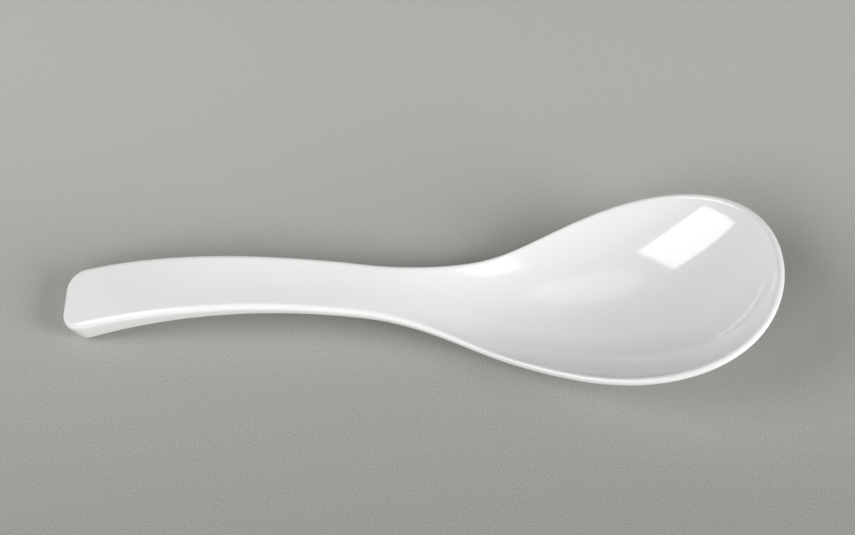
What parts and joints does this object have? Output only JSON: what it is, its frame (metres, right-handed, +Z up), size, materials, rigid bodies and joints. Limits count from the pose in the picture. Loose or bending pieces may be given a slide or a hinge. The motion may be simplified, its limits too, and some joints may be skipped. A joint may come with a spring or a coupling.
{
  "type": "salad serving spoon",
  "caption": "Salad serving spoon in one glossy white moulding, with an egg-shaped bowl and an arched handle that thickens to a blunt end.",
  "frame": {"origin": "on the table under the middle of the spoon's length, with the spoon lying as it rests: bowl open upwards, standing on its bowl and its handle's end", "axes": "+X along the spoon from the handle's end to the bowl's tip, +Y across it, +Z up from the table"},
  "size_m": [0.2506, 0.0782, 0.0392],
  "materials": {
    "white_melamine": "glossy warm white, polished as moulded"
  },
  "bodies": {
    "root": {"spoon": "white_melamine"}
  },
  "joints": []
}
